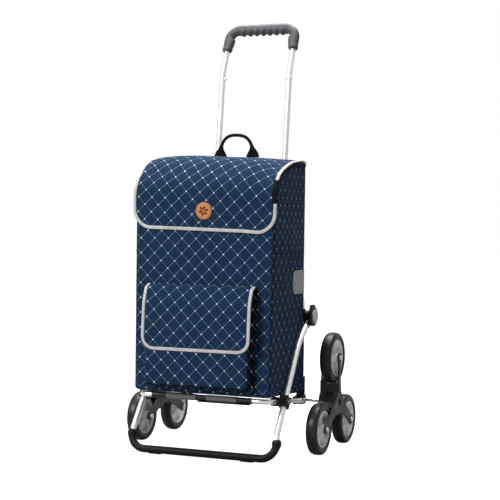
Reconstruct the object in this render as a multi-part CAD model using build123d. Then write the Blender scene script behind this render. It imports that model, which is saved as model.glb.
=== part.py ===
from build123d import *
import math
import os

# Folding shopping trolley with stair-climbing wheel stars and a quilted-pattern bag.
# Millimetres. X to the right, Y to the back, Z up, ground at Z = 0.
# Every Y below is measured from the axle; save() moves all the pieces by AXLE_Y, so that
# the origin lies on the ground under the middle of the whole object.

# ---- driving dimensions ----
AXLE_R = 4.0
RUN_GAP = 0.05          # radial clearance of a running fit

WHEEL_R = 60.0
TYRE_WIDTH = 28.0
RIM_R = 42.0
WHEEL_X = 230.0         # middle plane of the wheels
WHEEL_SPACING = 182.5   # between the wheel centres of one star
STAR_R = WHEEL_SPACING / math.sqrt(3)
AXLE_Z = WHEEL_R + STAR_R / 2
STAR_IN_X = 206.0       # inner face of the star
STAR_PLATE = 5.0        # inner arms
COVER_IN_X = 245.5      # outer arms
COVER_PLATE = 4.0
ARCH_TOP_Z = 86.0       # underside of the cover between the lower wheels
STAR_BOSS_R = 12.5

TUBE_R = 7.0            # back frame and stand
TUBE_WALL = 1.5
FRAME_X = 150.0         # main tubes low down
HANDLE_X = 89.0         # main tubes above the flare, and the handle
LEAN = 0.112            # backward lean of the upper main tubes, mm per mm
LEAN_START_Z = 410.0
FLARE_LOW_Z = 365.0
FLARE_HIGH_Z = 500.0
JOINT_Z = 902.0         # where the handle tube plugs in
HANDLE_BEND_Z = 911.0
HANDLE_TOP_Y = 102.0
HANDLE_TOP_Z = 1021.0
GRIP_ARM_R = 11.5
GRIP_BAR_R = 14.0
GRIP_BAR_HALF = 66.0
HANGER_Z = 640.0
CROSS_BAR_Z = 200.0
BAR_R = 4.0

PLATFORM_R = 6.0
PLATFORM_END = 6.2      # tube behind its pivot
PLATFORM_PIVOT = (-20.0, 113.5)     # Y, Z
PLATFORM_FRONT = (-245.0, 137.0)
PLATFORM_BACK_X = 157.0
PLATFORM_FRONT_X = 160.0
SLEEVE_R = 7.2

STAND_PIVOT = (-180.0, 130.2)
STAND_X = 175.5
STAND_TOP = (STAND_X, -33.0, 298.0)
STAND_BEND = (STAND_X, -85.0, 261.0)
STAND_KNEE = (178.5, -231.3, 60.0)
FOOT_CORNER = (188.0, -247.0, 9.5)
FOOT_SLEEVE_R = 8.75
FOOT_BEND_R = 35.0

KNOB = (-20.0, 316.0)   # Y, Z of the release knobs
KNOB_R = 23.5
BUTTON_R = 16.0
FITTING_IN_X = 168.3
FITTING_R = 13.0
HOUSING_IN_X = 183.0
HOUSING_OUT_X = 190.5
BUTTON_OUT_X = 194.0
COLLAR_OUT_X = 166.5

BAG_WALL = 3.0
BAG_HALF_LOW = 165.0
BAG_HALF_HIGH = 172.0
BAG_HALF_BACK = 160.5   # the bag is a little narrower where it meets the frame
BAG_BACK_LOW = (-13.5, 132.0)
BAG_FRONT_LOW = (-257.0, 146.0)
BAG_FRONT_HIGH = (-246.0, 668.0)
BAG_BACK_HIGH = (-9.5, 684.0)
BAG_FRONT_R = 80.0
BOARD_THICK = 3.5
BOARD_GAP = 0.4

FLAP_GAP = 1.0
FLAP_THICK = 4.0
FLAP_HALF = 174.0
FLAP_LOW_Z = 518.0
FLAP_CORNER_R = 35.0
FLAP_BACK_Y = -9.5

POCKET_HALF = 127.0
POCKET_LOW_Z = 159.0
POCKET_FRONT_Y = -286.0
POCKET_FRONT_Z = 360.0
POCKET_BACK_Y = -251.0
POCKET_BACK_Z = 394.0
POCKET_WALL = 2.5
POCKET_FLAP_THICK = 3.5
POCKET_FLAP_FRONT_Y = POCKET_FRONT_Y - 4.5
POCKET_FLAP_ROOT_Y = -255.0
POCKET_FLAP_GAP = 2.0
POCKET_FLAP_HALF = 133.0
POCKET_FLAP_LOW_Z = 246.0
POCKET_FLAP_CORNER_R = 22.0

LOOP_Y = -60.0          # carry loop on the flap
LOOP_FOOT_Z = 686.0
LOOP_HALF = 46.0
LOOP_RISE = 64.0

WHEELS_BACK_Y = WHEEL_SPACING / 2 + WHEEL_R
AXLE_Y = -(POCKET_FLAP_FRONT_Y + WHEELS_BACK_Y) / 2     # axle to origin


# ---- helpers ----
def x_rod(x_from, x_to, centre, radius):
    """Round bar along X; centre is (Y, Z)."""
    length = x_to - x_from
    bar = Rot(0, 90, 0) * Cylinder(radius, length)
    return Pos((x_from + x_to) / 2, centre[0], centre[1]) * bar


def block(low, high):
    """Box between two corners."""
    size = [b - a for a, b in zip(low, high)]
    middle = [(a + b) / 2 for a, b in zip(low, high)]
    return Pos(*middle) * Box(*size)


def side_plate(sketch, x_from, x_to):
    """Extrude a sketch drawn in (Y, Z) along X."""
    return extrude(Plane.YZ.offset(x_from) * sketch, amount=x_to - x_from, dir=(1, 0, 0))


def front_plate(sketch, y_from, y_to):
    """Extrude a sketch drawn in (X, Z) along Y."""
    face = Plane(origin=(0, y_to, 0), x_dir=(1, 0, 0), z_dir=(0, -1, 0)) * sketch
    return extrude(face, amount=y_to - y_from, dir=(0, -1, 0))


def bent_rod(points, radii, radius):
    """Solid round bar along straight runs joined by tangent arcs."""
    path = FilletPolyline(*points, radius=radii)
    start = Plane(origin=path @ 0, z_dir=path % 0)
    return sweep(start * Circle(radius), path=path)


def bent_tube(points, radii, radius, wall):
    return bent_rod(points, radii, radius) - bent_rod(points, radii, radius - wall)


def there_and_back(points):
    """Mirror a half route, so that it runs from the right side over to the left."""
    return points + [(-x, y, z) for x, y, z in reversed(points)]


def left_of(piece):
    return mirror(piece, about=Plane.YZ)


def lean_y(z):
    return LEAN * (z - LEAN_START_Z)


def save(node, piece):
    export_step(Pos(0, AXLE_Y, 0) * piece, os.path.join("parts", node + ".step"))


def save_pair(node, right_piece):
    save(node + "_right", right_piece)
    save(node + "_left", left_of(right_piece))


def both(right_piece):
    return Compound([right_piece, left_of(right_piece)])


# ---- back frame ----
def main_tube_points():
    return [(FRAME_X, 0, AXLE_Z + 8),
            (FRAME_X, 0, FLARE_LOW_Z),
            (HANDLE_X, lean_y(FLARE_HIGH_Z), FLARE_HIGH_Z),
            (HANDLE_X, lean_y(JOINT_Z), JOINT_Z)]


MAIN_TUBE_BENDS = [120, 120]
RIVET_Z = JOINT_Z - 7
SPIGOT_LENGTH = 40.0


def rivet():
    centre = (lean_y(RIVET_Z), RIVET_Z)
    shank = x_rod(HANDLE_X - TUBE_R - 1.5, HANDLE_X + TUBE_R + 1.5, centre, 2.0)
    head = x_rod(HANDLE_X + TUBE_R - 0.3, HANDLE_X + TUBE_R + 1.5, centre, 3.6)
    tail = x_rod(HANDLE_X - TUBE_R - 1.5, HANDLE_X - TUBE_R + 0.3, centre, 3.6)
    return shank + head + tail


def main_tube():
    tube = bent_tube(main_tube_points(), MAIN_TUBE_BENDS, TUBE_R, TUBE_WALL)
    return tube - rivet()


def handle_points():
    half = [(HANDLE_X, lean_y(JOINT_Z), JOINT_Z),
            (HANDLE_X, lean_y(HANDLE_BEND_Z), HANDLE_BEND_Z),
            (HANDLE_X - 1, HANDLE_TOP_Y, HANDLE_TOP_Z)]
    return there_and_back(half)


HANDLE_BENDS = [50, 25, 25, 50]


def handle_tube():
    tube = bent_tube(handle_points(), HANDLE_BENDS, TUBE_R, TUBE_WALL)
    low = (HANDLE_X, lean_y(JOINT_Z - SPIGOT_LENGTH), JOINT_Z - SPIGOT_LENGTH)
    high = (HANDLE_X, lean_y(JOINT_Z + 4), JOINT_Z + 4)
    run = Line(low, high)
    spigot = sweep(Plane(origin=run @ 0, z_dir=run % 0) * Circle(TUBE_R - TUBE_WALL), path=run)
    spigot = spigot - rivet()
    return tube + spigot + left_of(spigot)


def grip():
    """Soft moulding round the top of the handle: two arms and a thicker bar."""
    points = handle_points()
    start = Vector(*points[1]) + (Vector(*points[2]) - Vector(*points[1])) * 0.46
    half = [(start.X, start.Y, start.Z), points[2]]
    arms = bent_rod(there_and_back(half), [25, 25], GRIP_ARM_R)
    bar = x_rod(-GRIP_BAR_HALF, GRIP_BAR_HALF, (HANDLE_TOP_Y, HANDLE_TOP_Z), GRIP_BAR_R)
    return arms + bar - bent_rod(points, HANDLE_BENDS, TUBE_R)


def bar_between_tubes(z, y, reach):
    bar = x_rod(-reach, reach, (y, z), BAR_R)
    solid_tube = bent_rod(main_tube_points(), MAIN_TUBE_BENDS, TUBE_R)
    return bar - solid_tube - left_of(solid_tube)


def axle():
    centre = (0, AXLE_Z)
    return x_rod(-COVER_IN_X + 4, COVER_IN_X - 4, centre, AXLE_R)


def axle_washers():
    """Rings that hold each star in place from the inside."""
    ring = x_rod(STAR_IN_X - 2.0, STAR_IN_X - 0.5, (0, AXLE_Z), 9)
    return both(ring - axle())


def axle_caps():
    """Press-on caps at the axle's ends, outside the star's hub."""
    cap = x_rod(COVER_IN_X - 7, COVER_IN_X - 1, (0, AXLE_Z), 8)
    return both(cap - axle())


def axle_bracket():
    """Moulded foot of a main tube: tube socket, axle boss and an ear for the platform."""
    socket = Pos(FRAME_X, 0, AXLE_Z + 23) * Cylinder(10.5, 66)
    boss = block((FRAME_X - 10, -11, AXLE_Z - 10), (FRAME_X + 10, 11, AXLE_Z + 11))
    ear = block((FRAME_X - 9, -30, AXLE_Z - 8.5), (FRAME_X, -8, AXLE_Z + 10))
    body = socket + boss + ear
    body = body - bent_rod(main_tube_points(), MAIN_TUBE_BENDS, TUBE_R)
    body = body - x_rod(0, 250, (0, AXLE_Z), AXLE_R)
    return body - x_rod(100, 200, PLATFORM_PIVOT, AXLE_R)


def platform_pin():
    outer = PLATFORM_BACK_X + PLATFORM_R + 1
    pin = x_rod(FRAME_X - 9, outer, PLATFORM_PIVOT, AXLE_R)
    return pin + x_rod(outer, outer + 2.5, PLATFORM_PIVOT, 6.5)


def collar():
    """Black collar on a main tube, with a stub that meets the stand's top fitting."""
    ring = Pos(FRAME_X, 0, KNOB[1]) * Cylinder(10, 30)
    stub = x_rod(FRAME_X, COLLAR_OUT_X, (0, KNOB[1]), 8)
    return ring + stub - bent_rod(main_tube_points(), MAIN_TUBE_BENDS, TUBE_R)


def build_back_frame():
    save_pair("main_tube", main_tube())
    save("handle_tube", handle_tube())
    save("handle_rivets", both(rivet()))
    save("handle_grip", grip())
    save("hanger_bar", bar_between_tubes(HANGER_Z, lean_y(HANGER_Z), HANDLE_X))
    save("cross_bar", bar_between_tubes(CROSS_BAR_Z, 0, FRAME_X))
    save("axle", axle())
    save("axle_washers", axle_washers())
    save("axle_caps", axle_caps())
    save_pair("axle_bracket", axle_bracket())
    save("platform_pins", both(platform_pin()))
    save_pair("frame_collar", collar())


# ---- wheel stars ----
WHEEL_NAMES = {"top": 90, "front": 210, "rear": 330}


def wheel_centre(angle):
    turn = math.radians(angle)
    return (STAR_R * math.cos(turn), AXLE_Z + STAR_R * math.sin(turn))


def star_arm(angle, root_half, end_half, start, x_from, x_to):
    """Flat tapered arm from near the axle to a wheel centre, with a round end."""
    blade = Polygon((start, -root_half), (STAR_R, -end_half), (STAR_R, end_half),
                    (start, root_half), align=None)
    outline = blade + Pos(STAR_R, 0) * Circle(end_half)
    if start > 0:
        outline = outline + Pos(start, 0) * Circle(root_half)
    placed = Pos(0, AXLE_Z) * Rot(0, 0, angle) * outline
    return side_plate(placed, x_from, x_to)


def star_holes(bolt_radius):
    holes = x_rod(200, 260, (0, AXLE_Z), AXLE_R + RUN_GAP)
    for angle in WHEEL_NAMES.values():
        holes = holes + x_rod(200, 260, wheel_centre(angle), bolt_radius)
    return holes


def star_carrier():
    """Block between the wheels, scalloped round each tyre, with three inner arms."""
    block_out_x = COVER_IN_X
    core = x_rod(STAR_IN_X, block_out_x, (0, AXLE_Z), 30)
    for angle in WHEEL_NAMES.values():
        lobe = Pos(0, AXLE_Z) * Rot(0, 0, angle) * Pos(26, 0) * Rectangle(52, 36)
        core = core + side_plate(lobe, STAR_IN_X, block_out_x)
    for angle in WHEEL_NAMES.values():
        core = core - x_rod(STAR_IN_X + STAR_PLATE, 260, wheel_centre(angle), WHEEL_R + 2.5)
    for angle in WHEEL_NAMES.values():
        core = core + star_arm(angle, 15, 10, 0, STAR_IN_X, STAR_IN_X + STAR_PLATE)
    core = core - x_rod(COVER_IN_X - 8, 260, (0, AXLE_Z), 9)
    return core - star_holes(AXLE_R)


def star_cover():
    """Outer arms: two broad lower arms joined in an arch, and a waisted blade to the top wheel."""
    out_x = COVER_IN_X + COVER_PLATE
    lower = star_arm(210, 20, 9, 0, COVER_IN_X, out_x) + star_arm(330, 20, 9, 0, COVER_IN_X, out_x)
    web = Polygon((-78, 66), (0, AXLE_Z), (78, 66), align=None)
    lower = lower + side_plate(web, COVER_IN_X, out_x) + x_rod(COVER_IN_X, out_x, (0, AXLE_Z), 25)
    arch_r = 113.5
    lower = lower - x_rod(COVER_IN_X, out_x, (0, ARCH_TOP_Z - arch_r), arch_r)
    blade = Polygon((STAR_R, 8), (62, 6.5), (24, 8.5), (10, 8.5), (10, -6), (20, -13), (40, -8.5),
                    (62, -6.5), (STAR_R, -8), align=None)
    cover = lower + side_plate(Pos(0, AXLE_Z) * Rot(0, 0, 90) * blade, COVER_IN_X, out_x)
    for angle in WHEEL_NAMES.values():
        cover = cover + x_rod(COVER_IN_X, out_x, wheel_centre(angle), STAR_BOSS_R)
    opening = x_rod(COVER_IN_X, out_x, (0, AXLE_Z), 9)
    return cover - opening - star_holes(AXLE_R)


def wheel_bolts():
    """Three domed bolts, on which the wheels turn."""
    bolts = []
    for angle in WHEEL_NAMES.values():
        centre = wheel_centre(angle)
        shank = x_rod(STAR_IN_X - 4, COVER_IN_X + COVER_PLATE, centre, AXLE_R)
        head_x = COVER_IN_X + COVER_PLATE
        head = x_rod(head_x, head_x + 3, centre, 5.5)
        head = fillet(head.edges().group_by(Axis.X)[-1], 1.8)
        bolts.append(shank + head)
    return Compound(bolts)


def wheel_nuts():
    nuts = []
    for angle in WHEEL_NAMES.values():
        centre = wheel_centre(angle)
        hexagon = Pos(*centre) * RegularPolygon(6.5, 6)
        nut = side_plate(hexagon, STAR_IN_X - 5, STAR_IN_X)
        nuts.append(nut - x_rod(190, 215, centre, AXLE_R))
    return Compound(nuts)


def tyre(centre):
    half = TYRE_WIDTH / 2
    section = Pos((RIM_R + WHEEL_R) / 2, 0) * Rectangle(WHEEL_R - RIM_R, TYRE_WIDTH)
    outer = section.vertices().group_by(Axis.X)[-1]
    inner = section.vertices().group_by(Axis.X)[0]
    section = fillet(outer, half - 2.5)
    section = fillet(section.vertices().group_by(Axis.X)[0], 2.0)
    ring = revolve(Plane.XZ * section, axis=Axis.Z)
    return Pos(WHEEL_X, centre[0], centre[1]) * Rot(0, 90, 0) * ring


def rim(centre):
    """Moulded wheel centre: rim band, web with ribs, and a hub on the bolt."""
    hub_half = (COVER_IN_X - STAR_IN_X - STAR_PLATE) / 2 - 0.6
    hub_x = (COVER_IN_X + STAR_IN_X + STAR_PLATE) / 2
    band = x_rod(WHEEL_X - 11, WHEEL_X + 11, centre, RIM_R)
    band = band - x_rod(WHEEL_X - 11, WHEEL_X + 11, centre, RIM_R - 4.5)
    web = x_rod(WHEEL_X - 3, WHEEL_X + 3, centre, RIM_R - 4)
    hub = x_rod(hub_x - hub_half, hub_x + hub_half, centre, 10)
    wheel = band + web + hub
    for index in range(5):
        rib = Rot(0, 0, 90 + index * 72) * Pos(RIM_R / 2, 0) * Rectangle(RIM_R - 6, 5)
        wheel = wheel + side_plate(Pos(*centre) * rib, WHEEL_X - 8, WHEEL_X + 8)
    return wheel - x_rod(190, 270, centre, AXLE_R + RUN_GAP)


def build_stars():
    save_pair("star_carrier", star_carrier())
    save_pair("star_cover", star_cover())
    save_pair("wheel_bolts", wheel_bolts())
    save_pair("wheel_nuts", wheel_nuts())
    for name, angle in WHEEL_NAMES.items():
        centre = wheel_centre(angle)
        save_pair("tyre_" + name, tyre(centre))
        save_pair("rim_" + name, rim(centre))


# ---- platform ----
def platform_half_points():
    back_y, back_z = PLATFORM_PIVOT
    front_y, front_z = PLATFORM_FRONT
    rise = (front_z - back_z) / (front_y - back_y)
    return [(PLATFORM_BACK_X, back_y + PLATFORM_END, back_z + rise * PLATFORM_END),
            (PLATFORM_FRONT_X, front_y, front_z)]


def platform_rod(radius):
    return bent_rod(there_and_back(platform_half_points()), [24, 24], radius)


def platform_tube():
    tube = platform_rod(PLATFORM_R) - platform_rod(PLATFORM_R - 1.2)
    tube = tube - x_rod(-200, 200, PLATFORM_PIVOT, AXLE_R + RUN_GAP)
    return tube - x_rod(-200, 200, STAND_PIVOT, AXLE_R)


def bar_sleeve(x_from, x_to, radius):
    sleeve = x_rod(x_from, x_to, PLATFORM_FRONT, radius)
    return sleeve - x_rod(x_from, x_to, PLATFORM_FRONT, PLATFORM_R)


def bar_strap():
    """Short strap that hangs under the front bar, below the bag."""
    y, z = PLATFORM_FRONT
    return block((-10, y - 7, z - SLEEVE_R - 2.2), (118, y + 7, z - SLEEVE_R - 0.2))


def platform_clamp():
    """Block on the platform's side tube, beside the stand's clamp."""
    y, z = STAND_PIVOT
    body = block((PLATFORM_FRONT_X - 11, y - 12, z - 9), (COLLAR_OUT_X - 0.6, y + 12, z + 9))
    body = body - platform_rod(PLATFORM_R)
    return body - x_rod(100, 200, STAND_PIVOT, AXLE_R)


def stand_bolt():
    shank = x_rod(PLATFORM_FRONT_X - 13, 187, STAND_PIVOT, AXLE_R)
    return shank + x_rod(187, 190, STAND_PIVOT, 6.5)


def build_platform():
    save("platform_tube", platform_tube())
    save("ribbed_sleeves", both(bar_sleeve(13, 88, SLEEVE_R)))
    middle = bar_sleeve(-12.8, 12.8, SLEEVE_R - 0.4)
    end = bar_sleeve(88.2, 125, SLEEVE_R - 0.4)
    save("bar_collars", Compound([middle, end, left_of(end)]))
    save("bar_strap", bar_strap())
    save("platform_clamps", both(platform_clamp()))
    save("stand_bolts", both(stand_bolt()))


# ---- stand ----
def stand_rod(radius):
    half = [STAND_TOP, STAND_BEND, STAND_KNEE, FOOT_CORNER]
    bends = [220, 50, FOOT_BEND_R]
    return bent_rod(there_and_back(half), bends + bends[::-1], radius)


def stand_tube():
    tube = stand_rod(TUBE_R) - stand_rod(TUBE_R - TUBE_WALL)
    return tube - x_rod(-200, 200, STAND_PIVOT, AXLE_R + RUN_GAP)


def foot_sleeve():
    knee = Vector(*STAND_KNEE)
    start = knee + (Vector(*FOOT_CORNER) - knee) * 0.175
    half = [(start.X, start.Y, start.Z), FOOT_CORNER]
    sleeve = bent_rod(there_and_back(half), [FOOT_BEND_R, FOOT_BEND_R], FOOT_SLEEVE_R)
    return sleeve - stand_rod(TUBE_R)


def foot_pad():
    y = FOOT_CORNER[1]
    pad = block((100, y - 6.5, 0), (130, y + 6.5, FOOT_CORNER[2] - 5))
    return pad - x_rod(80, 150, (y, FOOT_CORNER[2]), FOOT_SLEEVE_R)


def stand_clamp():
    """Block round the stand tube, turning on the bolt in the platform's clamp."""
    y, z = STAND_PIVOT
    slope = math.degrees(math.atan2(STAND_BEND[2] - STAND_KNEE[2], STAND_BEND[1] - STAND_KNEE[1]))
    outline = Pos(y, z) * Rot(0, 0, slope) * RectangleRounded(28, 24, 4)
    body = side_plate(outline, COLLAR_OUT_X + 0.6, 186.5)
    body = body - stand_rod(TUBE_R)
    return body - x_rod(100, 200, STAND_PIVOT, AXLE_R + RUN_GAP)


def top_fitting():
    """Moulded end of a stand leg, which carries the release knob."""
    disc = x_rod(FITTING_IN_X, HOUSING_IN_X, KNOB, FITTING_R) + x_rod(HOUSING_IN_X - 4, HOUSING_IN_X, KNOB, 19)
    end = Vector(*STAND_TOP)
    toward = (end - Vector(*STAND_BEND)).normalized()
    run = Line(end - toward * 6, end + toward * 12)
    socket = sweep(Plane(origin=run @ 0, z_dir=run % 0) * Circle(9), path=run)
    keep = block((FITTING_IN_X, -100, 250), (HOUSING_IN_X, 50, 400))
    return disc + (socket & keep) - stand_rod(TUBE_R)


def knob_housing():
    """Round housing with a small hooked tab above it."""
    ring = x_rod(HOUSING_IN_X, HOUSING_OUT_X, KNOB, KNOB_R)
    ring = fillet(ring.edges().group_by(Axis.X)[-1], 2.5)
    tab = Pos(KNOB[0] - 4, KNOB[1] + KNOB_R - 1) * RectangleRounded(22, 10, 3)
    ring = ring + side_plate(tab, HOUSING_IN_X, HOUSING_OUT_X - 1.5)
    return ring - x_rod(HOUSING_IN_X, 200, KNOB, BUTTON_R + 0.4)


def release_button():
    disc = x_rod(HOUSING_IN_X + 4, BUTTON_OUT_X, KNOB, BUTTON_R)
    return fillet(disc.edges().group_by(Axis.X)[-1], 1.8)


def build_stand():
    save("stand_tube", stand_tube())
    save("foot_sleeve", foot_sleeve())
    save("foot_pads", both(foot_pad()))
    save("stand_clamps", both(stand_clamp()))
    save("top_fittings", both(top_fitting()))
    save_pair("knob_housing", knob_housing())
    save_pair("release_button", release_button())


# ---- bag ----
def bag_outline(grow):
    """Side profile of the bag in (Y, Z): leaning back, with a round front top edge."""
    corners = [BAG_BACK_LOW, BAG_FRONT_LOW, BAG_FRONT_HIGH, BAG_BACK_HIGH]
    outline = Polygon(*corners, align=None)
    front_top = outline.vertices().sort_by_distance((BAG_FRONT_HIGH[0], BAG_FRONT_HIGH[1], 0))[0]
    outline = fillet(front_top, BAG_FRONT_R)
    if grow > 0:
        outline = offset(outline, amount=grow, kind=Kind.INTERSECTION)
    return outline


def width_taper(shrink):
    """The bag's width: a little wider upwards and towards the front."""
    low, high, back = BAG_HALF_LOW - shrink, BAG_HALF_HIGH - shrink, BAG_HALF_BACK - shrink
    trapezium = Polygon((-low, 100), (low, 100), (high, 760), (-high, 760), align=None)
    spread = (BAG_HALF_HIGH - BAG_HALF_BACK) / (BAG_BACK_HIGH[0] - BAG_FRONT_HIGH[0])
    near = back + spread * (320 + BAG_BACK_HIGH[0])
    far = back - spread * (60 - BAG_BACK_HIGH[0])
    plan = Polygon((-near, -320), (near, -320), (far, 60), (-far, 60), align=None)
    return front_plate(trapezium, -320, 60) & extrude(Plane.XY.offset(50) * plan, 800)


def bag_outer():
    return side_plate(bag_outline(0), -200, 200) & width_taper(0)


def bag_shell():
    wall = BAG_WALL
    back_y, back_z = BAG_BACK_LOW
    front_y, front_z = BAG_FRONT_LOW
    hollow = Polygon((back_y - wall, back_z + wall), (front_y + wall, front_z + wall),
                     (BAG_FRONT_HIGH[0] + wall, BAG_FRONT_HIGH[1]),
                     (BAG_FRONT_HIGH[0] + wall, 760),
                     (BAG_BACK_HIGH[0] - wall, 760), align=None)
    return bag_outer() - (side_plate(hollow, -200, 200) & width_taper(wall))


def base_board():
    """Stiff board lying in the bottom of the bag."""
    inset = BAG_WALL + 3
    back_y, back_z = BAG_BACK_LOW
    front_y, front_z = BAG_FRONT_LOW
    rise = (front_z - back_z) / (front_y - back_y)
    low_back = (back_y - inset, back_z - rise * inset + BAG_WALL + BOARD_GAP)
    low_front = (front_y + inset, front_z + rise * inset + BAG_WALL + BOARD_GAP)
    outline = Polygon(low_back, low_front, (low_front[0], low_front[1] + BOARD_THICK),
                      (low_back[0], low_back[1] + BOARD_THICK), align=None)
    return side_plate(outline, -BAG_HALF_BACK + inset, BAG_HALF_BACK - inset)


def pocket_body():
    """Front pocket: a shallow box with a sloping open top that stands out from the bag's front."""
    top_z = POCKET_BACK_Z + 10
    outer = block((-POCKET_HALF, POCKET_FRONT_Y, POCKET_LOW_Z), (POCKET_HALF, -200, top_z))
    outer = fillet(outer.edges().filter_by(Axis.Z).group_by(Axis.Y)[0], 8)
    wall = POCKET_WALL
    hollow = block((-POCKET_HALF + wall, POCKET_FRONT_Y + wall, POCKET_LOW_Z + wall),
                   (POCKET_HALF - wall, -200, top_z))
    hollow = fillet(hollow.edges().filter_by(Axis.Z).group_by(Axis.Y)[0], 6)
    profile = Polygon((POCKET_FRONT_Y, POCKET_LOW_Z), (POCKET_FRONT_Y, POCKET_FRONT_Z),
                      (POCKET_BACK_Y, POCKET_BACK_Z), (-200, POCKET_BACK_Z), (-200, POCKET_LOW_Z),
                      align=None)
    return (outer & side_plate(profile, -200, 200)) - hollow - bag_outer()


def side_patch():
    zone = block((100, -92, 371), (200, -12, 426))
    zone = fillet(zone.edges().filter_by(Axis.X).group_by(Axis.Y)[0], 10)
    return (zone & width_taper(-1.2)) - width_taper(0)


def bag_hook():
    """Hook on the bag's back that drops over the hanger bar."""
    back = -9.3
    bar_y = lean_y(HANGER_Z)
    top = HANGER_Z + BAR_R + 1
    inner_y = bar_y + BAR_R + 1
    hook = Polygon((back, top - 40), (back + 2.5, top - 40), (back + 2.5, top),
                   (inner_y, top), (inner_y, top - 16), (inner_y + 3, top - 16),
                   (inner_y + 3, top + 3), (back, top + 3), align=None)
    return side_plate(hook, 42, 62)


def build_bag():
    save("bag_shell", bag_shell())
    save("base_board", base_board())
    save("front_pocket", pocket_body())
    save("side_patches", both(side_patch()))
    save("bag_hooks", both(bag_hook()))


# ---- flaps ----
def main_flap():
    """Curved sheet over the bag's top and down its front, with round lower corners."""
    outer = side_plate(bag_outline(FLAP_GAP + FLAP_THICK), -200, 200)
    inner = side_plate(bag_outline(FLAP_GAP), -200, 200)
    height = 720 - FLAP_LOW_Z
    face = Pos(0, FLAP_LOW_Z + height / 2) * Rectangle(2 * FLAP_HALF, height)
    face = fillet(face.vertices().group_by(Axis.Y)[0], FLAP_CORNER_R)
    back_wall = block((-200, -60, 500), (200, 0, 660))
    return ((outer - inner) & front_plate(face, -300, FLAP_BACK_Y)) - back_wall


def flap_badge():
    """Round leather badge on the flap's front."""
    flap_y = -253.7
    return Pos(3, flap_y, 563) * Rot(90, 0, 0) * Cylinder(19.5, 2) - main_flap()


def carry_loop():
    """Webbing loop standing on the flap's top: wide flat feet and a narrow arch."""
    arch = Ellipse(LOOP_HALF, LOOP_RISE) - Ellipse(LOOP_HALF - 8, LOOP_RISE - 7)
    foot = Polygon((27, 0), (54, 0), (47, 29), (36, 29), align=None)
    upper = Pos(0, LOOP_RISE / 2) * Rectangle(120, LOOP_RISE)
    outline = (arch + foot + mirror(foot, about=Plane.YZ)) & upper
    return front_plate(Pos(0, LOOP_FOOT_Z) * outline, LOOP_Y - 3, LOOP_Y + 3) - main_flap()


def pocket_flap():
    """Flap of the front pocket: slopes out and down from the bag, then hangs in front."""
    out_y = POCKET_FLAP_FRONT_Y
    in_y = out_y + POCKET_FLAP_THICK
    root_y = POCKET_FLAP_ROOT_Y
    slope = (POCKET_BACK_Z - POCKET_FRONT_Z) / (POCKET_BACK_Y - POCKET_FRONT_Y)
    bend_z = POCKET_FRONT_Z + POCKET_FLAP_GAP + slope * (in_y - POCKET_FRONT_Y)
    root_z = bend_z + slope * (root_y - in_y)
    over = POCKET_FLAP_THICK * math.sqrt(1 + slope ** 2)
    outer = Polygon((root_y, root_z), (root_y, root_z + over),
                    (out_y, bend_z + over - slope * POCKET_FLAP_THICK), (out_y, POCKET_FLAP_LOW_Z),
                    (in_y, POCKET_FLAP_LOW_Z), (in_y, bend_z), align=None)
    sheet = side_plate(outer, -200, 200)
    height = 420 - POCKET_FLAP_LOW_Z
    face = Pos(0, POCKET_FLAP_LOW_Z + height / 2) * Rectangle(2 * POCKET_FLAP_HALF, height)
    face = fillet(face.vertices().group_by(Axis.Y)[0], POCKET_FLAP_CORNER_R)
    return sheet & front_plate(face, -320, -200)


def build_flaps():
    save("main_flap", main_flap())
    save("flap_badge", flap_badge())
    save("carry_loop", carry_loop())
    save("pocket_flap", pocket_flap())


os.makedirs("parts", exist_ok=True)
build_back_frame()
build_stars()
build_platform()
build_stand()
build_bag()
build_flaps()
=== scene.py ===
from math import copysign, cos, exp, pi, radians, sin, sqrt, tan, tau

import bmesh
import bpy
from mathutils import Matrix, Vector, noise
from mathutils.bvhtree import BVHTree


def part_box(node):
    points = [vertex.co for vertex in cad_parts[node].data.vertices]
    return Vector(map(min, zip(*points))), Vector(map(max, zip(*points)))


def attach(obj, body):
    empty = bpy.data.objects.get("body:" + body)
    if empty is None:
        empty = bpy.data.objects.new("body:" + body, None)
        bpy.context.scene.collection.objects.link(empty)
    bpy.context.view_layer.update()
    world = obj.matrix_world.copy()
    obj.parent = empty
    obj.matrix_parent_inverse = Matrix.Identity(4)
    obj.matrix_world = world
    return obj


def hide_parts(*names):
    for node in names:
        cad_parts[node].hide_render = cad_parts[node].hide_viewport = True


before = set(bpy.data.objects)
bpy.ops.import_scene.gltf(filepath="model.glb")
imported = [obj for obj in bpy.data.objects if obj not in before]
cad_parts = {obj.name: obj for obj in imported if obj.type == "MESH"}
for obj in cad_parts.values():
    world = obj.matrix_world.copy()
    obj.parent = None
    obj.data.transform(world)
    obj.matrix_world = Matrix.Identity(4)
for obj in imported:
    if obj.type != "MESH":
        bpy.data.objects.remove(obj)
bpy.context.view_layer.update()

# Folding shopping trolley: the looks on top of the CAD frame.
# Sizes are in millimetres, with Y measured from the wheel axle; at() turns them into the frame's metres.
# Materials work in metres.

MM = 0.001
axle_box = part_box("axle")
AXLE_Y = (axle_box[0][1] + axle_box[1][1]) / 2


def at(x, y, z):
    return Vector((x * MM, AXLE_Y + y * MM, z * MM))


def span(node):
    """Lowest and highest corner of a CAD node, in millimetres from the axle's plane."""
    low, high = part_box(node)
    shift = Vector((0, AXLE_Y, 0))
    return (Vector(low) - shift) / MM, (Vector(high) - shift) / MM


# ---------------------------------------------------------------- camera, lights and floor
CAMERA_AZIMUTH = 22.35
CAMERA_PITCH = 1.37
CAMERA_ROLL = 0.75
CAMERA_DISTANCE = 3195
CAMERA_TARGET_X = 12.4
CAMERA_TARGET_Z = 469.9
LENS = 93.95


def new_object(name, data):
    piece = bpy.data.objects.new(name, data)
    bpy.context.scene.collection.objects.link(piece)
    return piece


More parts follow.
